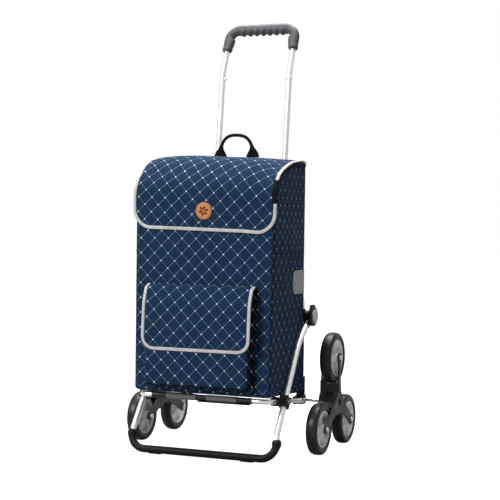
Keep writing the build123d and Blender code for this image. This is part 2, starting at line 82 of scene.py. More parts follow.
def make_camera():
    az, pitch, roll = (radians(a) for a in (CAMERA_AZIMUTH, CAMERA_PITCH, CAMERA_ROLL))
    back = Vector((sin(az) * cos(pitch), -cos(az) * cos(pitch), sin(pitch)))
    level = Vector((cos(az), sin(az), 0))
    upright = back.cross(level)
    right = level * cos(roll) + upright * sin(roll)
    up = upright * cos(roll) - level * sin(roll)
    target = level * CAMERA_TARGET_X + Vector((0, 0, CAMERA_TARGET_Z))
    place = target + back * CAMERA_DISTANCE
    camera = new_object("camera", bpy.data.cameras.new("camera"))
    turn = Matrix((right, up, back)).transposed().to_4x4()
    camera.matrix_world = Matrix.Translation(at(*place)) @ turn
    camera.data.sensor_width = 36
    camera.data.lens = LENS
    camera.data.clip_end = 50
    bpy.context.scene.camera = camera


def area_light(name, place, aim, size, power):
    light = bpy.data.lights.new(name, "AREA")
    light.shape = "RECTANGLE"
    light.size, light.size_y = size
    light.energy = power
    lamp = new_object(name, light)
    lamp.location = place
    lamp.rotation_euler = (Vector(aim) - Vector(place)).to_track_quat("-Z", "Y").to_euler()


def make_studio():
    world = bpy.data.worlds.new("studio")
    world.use_nodes = True
    tree = world.node_tree
    fill = tree.nodes["Background"]
    fill.inputs["Color"].default_value = (0.96, 0.98, 1, 1)
    fill.inputs["Strength"].default_value = 0.115
    backdrop = tree.nodes.new("ShaderNodeBackground")
    backdrop.inputs["Color"].default_value = (1, 1, 1, 1)
    choose = tree.nodes.new("ShaderNodeMixShader")
    rays = tree.nodes.new("ShaderNodeLightPath")
    shine = tree.nodes.new("ShaderNodeMath")
    shine.operation = "MULTIPLY_ADD"
    shine.inputs[1].default_value = 0.56
    shine.use_clamp = True
    tree.links.new(rays.outputs["Is Glossy Ray"], shine.inputs[0])
    tree.links.new(rays.outputs["Is Camera Ray"], shine.inputs[2])
    tree.links.new(shine.outputs[0], choose.inputs["Fac"])
    tree.links.new(fill.outputs[0], choose.inputs[1])
    tree.links.new(backdrop.outputs[0], choose.inputs[2])
    tree.links.new(choose.outputs[0], tree.nodes["World Output"].inputs["Surface"])
    bpy.context.scene.world = world
    middle = (0, 0, 0.5)
    area_light("key", (-1.35, -2.85, 2.4), (0, 0, 0.65), (1.2, 1.2), 130)
    area_light("side", (3.0, -1.0, 1.3), middle, (0.5, 2.2), 0.6)
    area_light("top", (-0.2, 0.5, 3.0), middle, (2.0, 2.0), 145)
    bpy.ops.mesh.primitive_plane_add(size=30, location=(0, 0, -0.0005))
    floor = bpy.context.object
    floor.name = "floor"
    floor.data.materials.append(plain_floor())
    bpy.context.scene.view_settings.view_transform = "Standard"


# ---------------------------------------------------------------- materials
class Finish:
    """A material with a Principled shader, and short calls for the nodes that feed it."""

    def __init__(self, name, color=(0.5, 0.5, 0.5), **values):
        self.material = bpy.data.materials.new(name)
        self.material.use_nodes = True
        self.tree = self.material.node_tree
        self.shader = self.tree.nodes["Principled BSDF"]
        self.set("Base Color", (*color, 1))
        for key, value in values.items():
            self.set(key.replace("_", " ").title(), value)

    def set(self, socket, value):
        self.shader.inputs[socket].default_value = value

    def feed(self, socket, output):
        self.tree.links.new(output, self.shader.inputs[socket])

    def plug(self, socket, value):
        if isinstance(value, bpy.types.NodeSocket):
            self.tree.links.new(value, socket)
        else:
            socket.default_value = value

    def node(self, kind, **values):
        """A new node, with numbers or other nodes' outputs in its named inputs."""
        node = self.tree.nodes.new("ShaderNode" + kind)
        for socket, value in values.items():
            self.plug(node.inputs[socket], value)
        return node

    def math(self, operation, *values):
        node = self.node("Math")
        node.operation = operation
        for socket, value in zip(node.inputs, values):
            self.plug(socket, value)
        return node.outputs[0]

    def span(self, value, low, high, to_low=0.0, to_high=1.0):
        node = self.node("MapRange")
        node.interpolation_type = "SMOOTHSTEP"
        for socket, part in zip(node.inputs, (value, low, high, to_low, to_high)):
            self.plug(socket, part)
        return node.outputs[0]

    def mix(self, share, first, second):
        node = self.node("Mix")
        node.data_type = "RGBA"
        self.plug(node.inputs[0], share)
        self.plug(node.inputs[6], first if not isinstance(first, tuple) else (*first, 1))
        self.plug(node.inputs[7], second if not isinstance(second, tuple) else (*second, 1))
        return node.outputs[2]

    def metres(self):
        """Where the point is on the object, in metres, the same in every pose and view."""
        return self.node("TexCoord").outputs["Object"]

    def cut(self):
        """Where the point is on the flat cloth, in metres."""
        node = self.node("UVMap")
        node.uv_map = "cut"
        return node.outputs[0]

    def split(self, vector):
        return self.node("SeparateXYZ", Vector=vector).outputs

    def stretch(self, vector, scale):
        return self.node("Mapping", Vector=vector, Scale=scale).outputs[0]

    def noise(self, vector, scale, detail=3.0, rough=0.5):
        return self.node("TexNoise", Vector=vector, Scale=scale, Detail=detail, Roughness=rough).outputs[0]

    def cells(self, vector, scale):
        return self.node("TexVoronoi", Vector=vector, Scale=scale).outputs["Distance"]

    def ripple(self, value, pitch):
        """A wave along value, one crest every pitch metres."""
        return self.math("SINE", self.times(value, tau / pitch))

    def times(self, *values):
        return self.math("MULTIPLY", *values)

    def plus(self, *values):
        return self.math("ADD", *values)

    def look(self, color, rough=None):
        """Feed the colour and, where it varies, the roughness."""
        self.feed("Base Color", color)
        if rough:
            self.feed("Roughness", rough)

    def bump(self, height, strength, distance):
        self.feed("Normal", self.node("Bump", Height=height, Strength=strength, Distance=distance).outputs[0])


def tone(color, share, lift=0.0):
    """A darker or paler shade of a colour."""
    return tuple(min(1, c * share + lift) for c in color)


def plain_floor():
    finish = Finish("floor", (0.93, 0.93, 0.93), roughness=0.9)
    speck = finish.noise(finish.metres(), 3.0)
    finish.look(finish.mix(speck, (0.36, 0.36, 0.36), (0.38, 0.38, 0.38)))
    rays = finish.node("LightPath")
    finish.set("Emission Color", (1, 1, 1, 1))
    finish.feed("Emission Strength", finish.math("MULTIPLY_ADD", rays.outputs["Is Camera Ray"], 0.92, 0.03))
    return finish.material


def moulded(name, color, roughness=0.5, grain=0.00006, grain_scale=900, wear=0.25, shine=0.3):
    """Moulded plastic or rubber: fine spark grain, faint cloudiness and slightly paler rubbed spots."""
    finish = Finish(name, color, roughness=roughness)
    place = finish.metres()
    cloud = finish.noise(place, 22, 4)
    rubbed = finish.span(finish.noise(place, 95, 5, 0.65), 0.58, 0.78)
    pale = tone(color, 1.7, 0.01)
    dark = tone(color, 0.82)
    base = finish.mix(cloud, dark, color)
    rough = finish.span(cloud, 0.2, 0.8, roughness - 0.07, roughness + 0.08)
    finish.look(finish.mix(finish.times(rubbed, wear), base, pale), rough)
    finish.bump(finish.noise(place, grain_scale, 2), 0.5, grain)
    finish.set("Specular IOR Level", shine)
    return finish.material


def brushed(name, color, roughness, along=(1, 1, 0.03)):
    """Drawn or anodised metal: fine streaks along the tube and a few handling marks."""
    finish = Finish(name, color, metallic=1.0, roughness=roughness)
    place = finish.metres()
    streak = finish.noise(finish.stretch(place, along), 1400, 3)
    mark = finish.span(finish.noise(place, 30, 6, 0.7), 0.55, 0.8)
    dull = tone(color, 0.86)
    rough = finish.span(streak, 0.2, 0.8, roughness - 0.05, roughness + 0.07)
    rough = finish.plus(rough, finish.times(mark, 0.08))
    finish.look(finish.mix(finish.times(streak, 0.5), color, dull), rough)
    finish.bump(streak, 0.25, 0.00003)
    return finish.material


NAVY = (0.0054, 0.0205, 0.050)
LATTICE_PITCH = 0.0345
LINE_HALF = 0.00034
DOT_RADIUS = 0.00120
WEAVE_PITCH = 0.0009


def bag_cloth(name="bag_cloth", navy=NAVY):
    """Melange polyester weave with a thin light diagonal lattice and a white dot at each crossing."""
    finish = Finish(name, navy, roughness=0.92, sheen_weight=0.02, sheen_roughness=0.4)
    finish.set("Specular IOR Level", 0.08)
    cut = finish.cut()
    u, v, _ = finish.split(cut)
    distances = []
    for sign in ("ADD", "SUBTRACT"):
        diagonal = finish.math("DIVIDE", finish.math(sign, u, v), LATTICE_PITCH)
        step = finish.math("PINGPONG", diagonal, 0.5)
        distances.append(finish.times(step, LATTICE_PITCH / sqrt(2)))
    lines = [finish.span(d, LINE_HALF, LINE_HALF * 1.6, 1.0, 0.0) for d in distances]
    line = finish.math("MAXIMUM", finish.times(lines[0], 0.72), lines[1])
    squares = [finish.times(d, d) for d in distances]
    reach = finish.math("SQRT", finish.plus(*squares))
    dot = finish.span(reach, DOT_RADIUS, DOT_RADIUS * 1.25, 1.0, 0.0)
    warp = finish.noise(finish.stretch(cut, (1, 0.08, 1)), 1500, 2)
    weft = finish.noise(finish.stretch(cut, (0.08, 1, 1)), 1500, 2)
    thread = finish.times(finish.plus(warp, weft), 0.5)
    cloud = finish.noise(cut, 14, 3)
    dark = tone(navy, 0.62)
    pale = tone(navy, 1.45, 0.004)
    fleck = finish.span(finish.noise(cut, 520, 2, 0.6), 0.38, 0.62)
    ground = finish.mix(finish.span(thread, 0.36, 0.64), dark, pale)
    ground = finish.mix(finish.times(fleck, 0.38), ground, tone(navy, 2.0, 0.004))
    ground = finish.mix(finish.times(cloud, 0.35), ground, dark)
    thread_line = finish.mix(thread, (0.17, 0.27, 0.40), (0.29, 0.40, 0.54))
    inked = finish.mix(finish.times(line, 0.62), ground, thread_line)
    finish.look(finish.mix(dot, inked, (0.80, 0.86, 0.92)))
    weave = finish.times(finish.ripple(u, WEAVE_PITCH), finish.ripple(v, WEAVE_PITCH))
    raised = finish.plus(finish.times(line, 0.8), dot)
    height = finish.plus(finish.times(weave, 0.35), finish.plus(thread, raised))
    finish.bump(height, 0.45, 0.00016)
    return finish.material


def woven(name, color, pitch=0.0011, roughness=0.8, ribs=0.5, sheen=0.15, shine=0.3):
    """Tape or webbing: ribs across it, threads along it."""
    finish = Finish(name, color, roughness=roughness, sheen_weight=sheen)
    finish.set("Specular IOR Level", shine)
    cut = finish.cut()
    u, v, _ = finish.split(cut)
    rib = finish.ripple(v, pitch)
    thread = finish.ripple(u, pitch * 1.6)
    soil = finish.noise(finish.metres(), 60, 4)
    dark = tone(color, 0.78)
    base = finish.mix(finish.span(soil, 0.35, 0.7), color, dark)
    shade = finish.span(finish.times(rib, thread), -1, 1, 0.0, 0.25)
    finish.look(finish.mix(shade, base, dark))
    finish.bump(finish.times(finish.plus(rib, thread), ribs), 0.4, 0.00012)
    return finish.material


def tan_leather():
    finish = Finish("tan_leather", (0.50, 0.17, 0.03), roughness=0.5)
    place = finish.metres()
    cloud = finish.noise(place, 160, 4)
    rough = finish.span(cloud, 0.3, 0.7, 0.42, 0.6)
    finish.look(finish.mix(cloud, (0.42, 0.135, 0.022), (0.60, 0.215, 0.045)), rough)
    finish.bump(finish.cells(place, 1400), 0.5, 0.00012)
    return finish.material


def reflective_patch():
    finish = Finish("reflective_patch", (0.24, 0.27, 0.25), roughness=0.45, metallic=0.2)
    place = finish.metres()
    cloud = finish.noise(place, 40, 4)
    finish.look(finish.mix(cloud, (0.28, 0.305, 0.28), (0.34, 0.37, 0.34)))
    finish.bump(finish.cells(place, 900), 0.3, 0.00008)
    return finish.material


def tyre_rubber():
    finish = Finish("tyre_rubber", (0.008, 0.008, 0.009), roughness=0.4)
    place = finish.metres()
    cloud = finish.noise(place, 35, 5)
    dust = finish.span(finish.noise(place, 8, 6, 0.7), 0.55, 0.85, 0.0, 0.2)
    base = finish.mix(cloud, (0.005, 0.005, 0.006), (0.011, 0.011, 0.012))
    finish.look(finish.mix(dust, base, (0.026, 0.025, 0.024)), finish.span(cloud, 0.3, 0.7, 0.3, 0.44))
    finish.bump(finish.noise(place, 700, 3), 0.3, 0.00006)
    finish.set("Specular IOR Level", 0.3)
    return finish.material


cloth = bag_cloth()
# painted shade: a much darker copy of the bag cloth, laid on the pocket's sides and underside where shade
# falls
painted_shade_cloth = bag_cloth("painted_shade_cloth", tone(NAVY, 0.12))
lining = woven("lining", (0.012, 0.016, 0.03))
piping_tape = woven("piping_tape", (0.52, 0.515, 0.50), sheen=0.15)
thread_white = woven("thread_white", (0.55, 0.57, 0.6), pitch=0.0006)
thread_navy = woven("thread_navy", (0.02, 0.04, 0.09), pitch=0.0006)
black_webbing = woven("black_webbing", (0.0045, 0.0045, 0.005), 0.0018, ribs=0.9, sheen=0.01, shine=0.08)
aluminium = brushed("aluminium", (0.93, 0.935, 0.93), 0.38)
plated_steel = brushed("plated_steel", (0.70, 0.71, 0.72), 0.22, along=(0.05, 1, 1))
black_plastic = moulded("black_plastic", (0.009, 0.009, 0.010), 0.42)
star_plastic = moulded("star_plastic", (0.034, 0.035, 0.037), 0.46, wear=0.35)
knob_grey = moulded("knob_grey", (0.74, 0.75, 0.76), 0.4, wear=0.1)
rim_grey = moulded("rim_grey", (0.86, 0.87, 0.88), 0.3, wear=0.15, shine=0.5)
sleeve_grey = moulded("sleeve_grey", (0.22, 0.22, 0.22), 0.55, wear=0.1)
soft_black = moulded("soft_black", (0.007, 0.007, 0.008), 0.58, grain=0.00012, grain_scale=500, shine=0.16)
grip_rubber = moulded("grip_rubber", (0.068, 0.072, 0.078), 0.46, grain=0.0001, grain_scale=600)
badge_ink = moulded("badge_ink", (0.10, 0.035, 0.012), 0.6, wear=0.1)
tyre_black = tyre_rubber()
leather = tan_leather()
patch_cloth = reflective_patch()


def paint(material, *nodes):
    """Give CAD nodes a finish."""
    for name in nodes:
        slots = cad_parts[name].data.materials
        if not slots:
            slots.append(material)
        for index in range(len(slots)):
            slots[index] = material


def soften(width, *nodes):
    """Round the sharp edges of CAD nodes a little, as moulding and pressing do."""
    for name in nodes:
        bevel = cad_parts[name].modifiers.new("edges", "BEVEL")
        bevel.width = width * MM
        bevel.segments = 2
        bevel.limit_method = "ANGLE"
        bevel.angle_limit = radians(40)
        bevel.harden_normals = False


SIDES = {"right": 1, "left": -1}


def both_sides(*names):
    return [name + "_" + side for name in names for side in SIDES]


def paint_frame():
    paint(aluminium, "handle_tube", "platform_tube", "stand_tube", *both_sides("main_tube"))
    paint(plated_steel, "handle_rivets", "hanger_bar", "cross_bar", "axle", "axle_washers", "axle_caps",
          "platform_pins", "stand_bolts", *both_sides("wheel_bolts", "wheel_nuts"))
    paint(black_plastic, "bar_strap", "bar_collars", "platform_clamps", "stand_clamps", "top_fittings",
          "bag_hooks", "base_board", *both_sides("axle_bracket", "frame_collar", "knob_housing"))
    paint(star_plastic, *both_sides("star_carrier", "star_cover"))
    soften(0.8, "platform_clamps", "stand_clamps", "top_fittings")
    soften(0.8, *both_sides("axle_bracket", "frame_collar"))
    soften(0.6, *both_sides("star_carrier", "star_cover", "knob_housing"))
    paint(soft_black, "foot_pads")


# ---------------------------------------------------------------- mesh helpers
def add_mesh(name, points, faces, cuts, material):
    mesh = bpy.data.meshes.new(name)
    mesh.from_pydata(points, [], faces)
    layer = mesh.uv_layers.new(name="cut")
    for loop in mesh.loops:
        layer.data[loop.index].uv = cuts[loop.vertex_index]
    for polygon in mesh.polygons:
        polygon.use_smooth = True
    mesh.update()
    mesh.materials.append(material)
    return new_object(name, mesh)


def put(piece, slot_name, body, *nodes):
    """Hang a piece on the body it rides on and hide the CAD nodes it stands for. slot_name is not used."""
    if nodes:
        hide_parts(*nodes)
    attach(piece, body)


def bands(rings, count, base=0, closed=True, flip=False):
    """Faces between rings of count points that are numbered from base."""
    faces = []
    for low in range(base, base + (rings - 1) * count, count):
        for i in range(count if closed else count - 1):
            k = (i + 1) % count
            face = (low + i, low + k, low + count + k, low + count + i)
            faces.append((face[0], *face[:0:-1]) if flip else face)
    return faces


def runs(path):
    """Distance along a line at each of its points."""
    found = [0.0]
    for a, b in zip(path, path[1:]):
        found.append(found[-1] + (Vector(b) - Vector(a)).length)
    return found


def circle(count):
    """(turn, cosine, sine) evenly round a circle."""
    return [(turn, cos(turn), sin(turn)) for turn in (tau * i / count for i in range(count))]


def add_grid(name, rows, cuts, material, ring=False):
    """Surface through rows of points; ring joins each row's end to its start."""
    points = [point for row in rows for point in row]
    flat = [cut for row in cuts for cut in row]
    return add_mesh(name, points, bands(len(rows), len(rows[0]), closed=ring), flat, material)


def join(name, pieces):
    """One piece from several, keeping each one's material."""
    bpy.ops.object.select_all(action="DESELECT")
    for piece in pieces:
        piece.select_set(True)
    bpy.context.view_layer.objects.active = pieces[0]
    bpy.ops.object.join()
    whole = bpy.context.object
    whole.name = name
    whole.data.name = name
    return whole


def rounded_path(corners, radii, step):
    """Points along straight runs joined by tangent arcs, about step apart."""
    corners = [Vector(c) for c in corners]
    path = [corners[0]]
    for before, corner, after, radius in zip(corners, corners[1:], corners[2:], radii):
        a = (before - corner).normalized()
        b = (after - corner).normalized()
        half = a.angle(b) / 2
        centre = corner + (a + b).normalized() * (radius / sin(half))
        start = corner + a * (radius / tan(half))
        arm = start - centre
        end_arm = corner + b * (radius / tan(half)) - centre
        axis = arm.cross(end_arm).normalized()
        turn = arm.angle(end_arm)
        steps = max(4, round(radius * turn / step))
        path.extend(centre + Matrix.Rotation(turn * i / steps, 3, axis) @ arm for i in range(steps + 1))
    path.append(corners[-1])
    return even_path(path, step)


def stations(path, step):
    """(index, share) of places step apart along a line."""
    lengths = runs(path)
    count = max(2, round(lengths[-1] / step))
    found, index = [], 0
    for i in range(count + 1):
        want = lengths[-1] * i / count
        while index < len(path) - 2 and lengths[index + 1] < want:
            index += 1
        gap = lengths[index + 1] - lengths[index]
        found.append((index, 0 if gap == 0 else (want - lengths[index]) / gap))
    return found


def even_path(path, step):
    """The same line with points step apart."""
    return [path[index].lerp(path[index + 1], share) for index, share in stations(path, step)]


def spaced(path, normals, step):
    """Points and normals along a line, evenly step millimetres apart."""
    places = stations(path, step * MM)
    points = [path[index].lerp(path[index + 1], share) for index, share in places]
    return points, [normals[index].lerp(normals[index + 1], share).normalized() for index, share in places]


def face_outward(piece, merge=0.0):
    """Turn a mesh's faces outward, after joining points closer than merge."""
    shape = bmesh.new()
    shape.from_mesh(piece.data)
    if merge:
        bmesh.ops.remove_doubles(shape, verts=shape.verts, dist=merge)
    bmesh.ops.recalc_face_normals(shape, faces=shape.faces)
    shape.to_mesh(piece.data)
    shape.free()


def close_ends(piece, ring, count):
    """Cap both ends of a skin."""
    shape = bmesh.new()
    shape.from_mesh(piece.data)
    shape.verts.ensure_lookup_table()
    shape.faces.new(shape.verts[:ring][::-1])
    shape.faces.new(shape.verts[(count - 1) * ring:count * ring])
    shape.to_mesh(piece.data)
    shape.free()
    face_outward(piece)
    for polygon in piece.data.polygons:
        polygon.use_smooth = len(polygon.vertices) < 6


def oval(half_side, half_up, count=24, power=2.0):
    """Ring of (side, up) offsets: an ellipse, or squarer as power grows."""
    def bent(value):
        return copysign(abs(value) ** (2 / power), value)
    return [(half_side * bent(c), half_up * bent(s)) for _, c, s in circle(count)]


def lathe(name, outline, centre, material, steps=64):
    """Body of revolution about the X axis. outline is (x, radius) pairs; centre is (y, z)."""
    y, z = centre
    rows = [[at(x, y + radius * c, z + radius * s) for _, c, s in circle(steps)] for x, radius in outline]
    cuts = [[(radius * turn * MM, x * MM) for turn, _, _ in circle(steps)] for x, radius in outline]
    piece = add_grid(name, rows, cuts, material, ring=True)
    face_outward(piece)
    return piece


def smooth_by_angle(piece, angle=35):
    """Keep edges sharper than the angle crisp."""
    mesh = piece.data
    shape = bmesh.new()
    shape.from_mesh(mesh)
    for edge in shape.edges:
        edge.smooth = len(edge.link_faces) == 2 and edge.calc_face_angle() < radians(angle)
    for face in shape.faces:
        face.smooth = True
    shape.to_mesh(mesh)
    shape.free()


def skin(name, frames, section, material, capped=True):
    """Skin over (point, side, up) frames in metres. section(distance, share) gives a ring in millimetres."""
    rows, cuts = [], []
    distances = runs([point for point, _, _ in frames])
    for i, (point, side, lift) in enumerate(frames):
        ring = section(distances[i] / MM, i / (len(frames) - 1))
        rows.append([point + side * (a * MM) + lift * (b * MM) for a, b in ring])
        cuts.append([(around * MM, distances[i]) for around in runs(ring)])
    piece = add_grid(name, rows, cuts, material, ring=True)
    if capped:
        close_ends(piece, len(rows[0]), len(rows))
    return piece


def tangents(path):
    """Direction of a line at each of its points."""
    last = len(path) - 1
    return [(path[min(i + 1, last)] - path[max(i - 1, 0)]).normalized() for i in range(last + 1)]


def framed(path, normals):
    """(point, side, up) frames along points in metres, with up as near as can be to each normal."""
    frames = []
    for point, tangent, normal in zip(path, tangents(path), normals):
        side = tangent.cross(normal).normalized()
        frames.append((point, side, side.cross(tangent).normalized()))
    return frames


def facing(path, *normal):
    """Frames along a line whose points all face one way."""
    return framed(path, [Vector(normal)] * len(path))


def ring_of(section):
    """The same cross-section all along a skin."""
    return lambda distance, share: section


def stitch_row(name, path, normals, aside, above, material, pitch=3.4, length=2.3, thick=0.42):
    """A row of short threads beside a line."""
    points, ups = spaced(path, normals, pitch)
    frames = framed(points, ups)
    verts, faces, cuts = [], [], []
    for i, (point, side, lift) in enumerate(frames[:-1]):
        tangent = (frames[i + 1][0] - point).normalized()
        middle = point + side * (aside * MM) + lift * (above * MM)
        base = len(verts)
        for along, swell in ((-0.5, 0.35), (-0.3, 1.0), (0.3, 1.0), (0.5, 0.35)):
            for k, (_, c, s) in enumerate(circle(6)):
                reach = side * c * thick + lift * s * thick
                verts.append(middle + tangent * (along * length * MM) + reach * (swell * MM))
                cuts.append((k * 0.0004, along * length * MM))
        faces += bands(4, 6, base)
        faces += [tuple(range(base + 5, base - 1, -1)), tuple(range(base + 18, base + 24))]
    return add_mesh(name, verts, faces, cuts, material)


def sew(name, path, normal, aside, above, material, *sizes):
    """A row of stitches whose path faces one way."""
    return stitch_row(name, path, [Vector(normal)] * len(path), aside, above, material, *sizes)


def normals_of(piece):
    piece.data.update()
    return [vertex.normal.copy() for vertex in piece.data.vertices]


def thicken(piece, thickness, offset=0.0, inside=None):
    if inside:
        piece.data.materials.append(inside)
    solid = piece.modifiers.new("solidify", "SOLIDIFY")
    solid.thickness = thickness * MM
    solid.offset = offset
    solid.use_even_offset = False
    solid.material_offset = 1 if inside else 0


def face_out(piece, ahead):
    """Turn a sheet's faces so that they look along ahead on the whole."""
    total = Vector((0, 0, 0))
    for polygon in piece.data.polygons:
        total += polygon.normal * polygon.area
    if total.dot(Vector(ahead)) < 0:
        piece.data.flip_normals()


def wave(x, y, z, size, seed=0.0):
    """Smooth noise from -1 to 1 that changes over about size millimetres."""
    return noise.noise(Vector((x / size + seed, y / size + 7.3, z / size + 3.1)))


def ease(low, high, value):
    """0 below low, 1 above high, and a smooth step between."""
    share = min(1.0, max(0.0, (value - low) / (high - low)))
    return share * share * (3 - 2 * share)


def lerp(a, b, share):
    return a + (b - a) * share


# ---------------------------------------------------------------- the bag's shape, as in the CAD
BACK_LOW = Vector((0, -13.5, 132.0))
FRONT_LOW = Vector((0, -257.0, 146.0))
FRONT_HIGH = Vector((0, -246.0, 668.0))
BACK_HIGH = Vector((0, -9.5, 684.0))
FRONT_R = 80.0
CORNER_R = 9.0
SEAM_Z = 470.0


def bag_half(z, y):
    """Half the bag's width: a little wider upwards and towards the front."""
    return min(lerp(165.0, 172.0, (z - 100) / 660), 160.5 + 0.0486 * (-9.5 - y))


def front_y(z):
    return lerp(FRONT_LOW.y, FRONT_HIGH.y, (z - FRONT_LOW.z) / (FRONT_HIGH.z - FRONT_LOW.z))


def back_y(z):
    return lerp(BACK_LOW.y, BACK_HIGH.y, (z - BACK_LOW.z) / (BACK_HIGH.z - BACK_LOW.z))


def grown_corner(corner, before, after, grow):
    """A profile corner moved out with both its sides."""
    a = (corner - before).normalized()
    b = (after - corner).normalized()
    n, m = Vector((0, a.z, -a.y)), Vector((0, b.z, -b.y))
    return corner + (n + m) * (grow / (1 + n.dot(m)))


def top_profile(grow, low_z, step=5.0):
    """The bag's top and front in side view, from the back edge over the round corner and down."""
    top = (FRONT_HIGH - BACK_HIGH).normalized()
    start = BACK_HIGH + Vector((0, top.z, -top.y)) * grow
    corner = grown_corner(FRONT_HIGH, BACK_HIGH, FRONT_LOW, grow)
    down = (FRONT_LOW - FRONT_HIGH).normalized()
    end = corner + down * ((low_z - corner.z) / down.z)
    return rounded_path([start, corner, end], [FRONT_R + grow], step)


RIM = top_profile(-3.0, 570.0, 3.0)


def rim_z(y):
    """Height of the bag's open rim: just under the flap."""
    for a, b in zip(RIM, RIM[1:]):
        if b.y <= y <= a.y:
            return lerp(a.z, b.z, (a.y - y) / max(1e-6, a.y - b.y))
    return RIM[0].z if y > RIM[0].y else RIM[-1].z


def bag_ring():
    """(u, v, a, b) round the bag: the place along its straight sides and the corner arc's direction."""
    sides, ends, arc = 26, 34, circle(20)[:5]
    ring = [(1, i / sides, 1, 0) for i in range(sides)]
    ring += [(1, 1, c, s) for _, c, s in arc]
    ring += [(1 - 2 * i / ends, 1, 0, 1) for i in range(ends)]
    ring += [(-1, 1, -s, c) for _, c, s in arc]
    return ring + [(-u, 1 - v, -a, -b) for u, v, a, b in ring]


def bag_point(u, v, a, b, rise, shrink=0.0):
    """A point of the bag's cloth. rise is 0 at the bottom and 1 at the rim."""
    depth = BACK_LOW.y - FRONT_LOW.y
    share = (v * (depth - 2 * CORNER_R) + CORNER_R * (1 + b)) / depth
    low = lerp(FRONT_LOW.z, BACK_LOW.z, share)
    rim_y = lerp(front_y(620), back_y(620), share)
    high = rim_z(rim_y) + left_lift(150 * u) * 0.8 * sin(pi * share)
    high -= 0.85 * shoulder(167 * u, rim_y)
    z = lerp(low, high, rise)
    front, back = front_y(z) + shrink, back_y(z) - shrink
    half = bag_half(z, lerp(front, back, share)) - shrink
    half += 3.0 * (1 - share) ** 4 + 4.0 * share ** 4 * (1 - ease(235, 290, z))
    x = u * (half - CORNER_R) + CORNER_R * a
    y = lerp(front + CORNER_R, back - CORNER_R, v) + CORNER_R * b
    tall = sin(pi * min(1, max(0, (z - low) / (high - low)))) ** 0.7
    if abs(a) > 0:
        # side panels: belly, a soft ledge over the cross seam, and loose folds above it
        loose = sin(pi * share) * tall * ease(305, 380, z)
        belly = 1.6 * loose
        ledge = 2.6 * ease(SEAM_Z - 2, SEAM_Z + 2, z) * (1 - ease(SEAM_Z + 8, SEAM_Z + 75, z))
        fold = ease(SEAM_Z, SEAM_Z + 14, z) * (1 - ease(SEAM_Z + 60, SEAM_Z + 110, z))
        ripple = wave(0, y * 0.6, z * 2.2, 34, 5.0 * u) * 1.6 * fold * sin(pi * share)
        x += a * (belly + ledge * sin(pi * share) + ripple)
        x += a * 0.9 * wave(u * 50, y, z, 85) * loose
    if abs(b) > 0:
        across = 1 - (x / half) ** 2
        reach = 1.0 * (1 - ease(440, 510, z)) if b < 0 else 2.6
        y += b * reach * across * tall
        y += b * 0.8 * wave(x, 40 * b, z, 90) * tall * (1 if b > 0 else 1 - ease(470, 510, z))
    return x, y, z


BOTTOM_R = 9.0
BOTTOM_HALF = 161.0
BOTTOM_HALF_DEPTH = 122.0
BOTTOM_RISE = 0.018
BOTTOM_Y = (FRONT_LOW.y + BACK_LOW.y) / 2
CLOTH_LEVELS = 150


def bottom_point(x, y, pull):
    """A point of the bag's outline, drawn in over its bottom."""
    return x * (1 - pull / BOTTOM_HALF), BOTTOM_Y + (y - BOTTOM_Y) * (1 - pull / BOTTOM_HALF_DEPTH)


def bag_rows(ring, around):
    """Rows of the bag's cloth from the middle of its bottom to the rim, and their cut."""
    rows, cuts = [], []
    low_row = [bag_point(*r, 0.0) for r in ring]
    for share in (k / 8 for k in range(9)):
        row = []
        for x, y, _ in low_row:
            inner_x, inner_y = bottom_point(x, y, BOTTOM_R)
            back = (BACK_LOW.y - lerp(BOTTOM_Y, y, share)) / (BACK_LOW.y - FRONT_LOW.y)
            sag = 1.5 * (1 - share ** 2)
            z = lerp(BACK_LOW.z, FRONT_LOW.z, back) + 0.6 - sag
            row.append(at(inner_x * share, lerp(BOTTOM_Y, inner_y, share), z))
        rows.append(row)
        cuts.append([(s * MM, (BOTTOM_R - 120 * (1 - share)) * MM) for s in around])
    for k in range(1, 5):
        turn = pi / 2 * k / 4
        points = [bag_point(*r, BOTTOM_RISE * (1 - cos(turn))) for r in ring]
        rows.append([at(*bottom_point(x, y, BOTTOM_R * (1 - sin(turn))), z + 0.6) for x, y, z in points])
        cuts.append([(s * MM, (BOTTOM_R + 2 * k) * MM) for s in around])
    for k in range(1, CLOTH_LEVELS + 1):
        points = [bag_point(*r, lerp(BOTTOM_RISE, 1, k / CLOTH_LEVELS)) for r in ring]
        rows.append([at(*p) for p in points])
        gather = [26 * abs(r[2]) * ease(SEAM_Z - 4, SEAM_Z + 82, p[2]) for r, p in zip(ring, points)]
        cuts.append([(s * MM, (p[2] + g) * MM - 0.12) for s, p, g in zip(around, points, gather)])
    return rows, cuts


def make_bag_body():
    ring = bag_ring()
    base = [Vector(bag_point(*r, 0.5)) for r in ring]
    around = runs(base + base[:1])
    rows, cuts = bag_rows(ring, around[:-1])
    closed_rows = [row + row[:1] for row in rows]
    closed_cuts = [row + [(around[-1] * MM, row[0][1])] for row in cuts]
    body = add_grid("bag_body", closed_rows, closed_cuts, cloth)
    face_outward(body, 0.00002)
    thicken(body, 1.6, -1.0, lining)
    put(body, "bag_fabric", "bag", "bag_shell")
    section = [(a, b - 4.4) for a, b in oval(1.5, 4.0, 12, 3)]
    tape = skin("bag_rim_tape", facing(closed_rows[-1], 0, 0, 1), ring_of(section), black_webbing, False)
    put(tape, "bag_fabric", "bag")
    across = [at(lerp(-154, 154, i / 60), -9.6, 681.0 + 0.3 * wave(i * 5.0, 0, 0, 40)) for i in range(61)]
    hinge = skin("flap_hinge_tape", facing(across, 0, 1, 0), ring_of(oval(6.5, 1.1, 16, 4)), black_webbing)
    put(hinge, "bag_fabric", "bag")
    return body


def touch(tree, origin, direction):
    """Where a ray from origin, in millimetres, first meets the cloth, and the cloth's normal there."""
    hit, normal, _, _ = tree.ray_cast(at(*origin), Vector(direction))
    return hit, normal


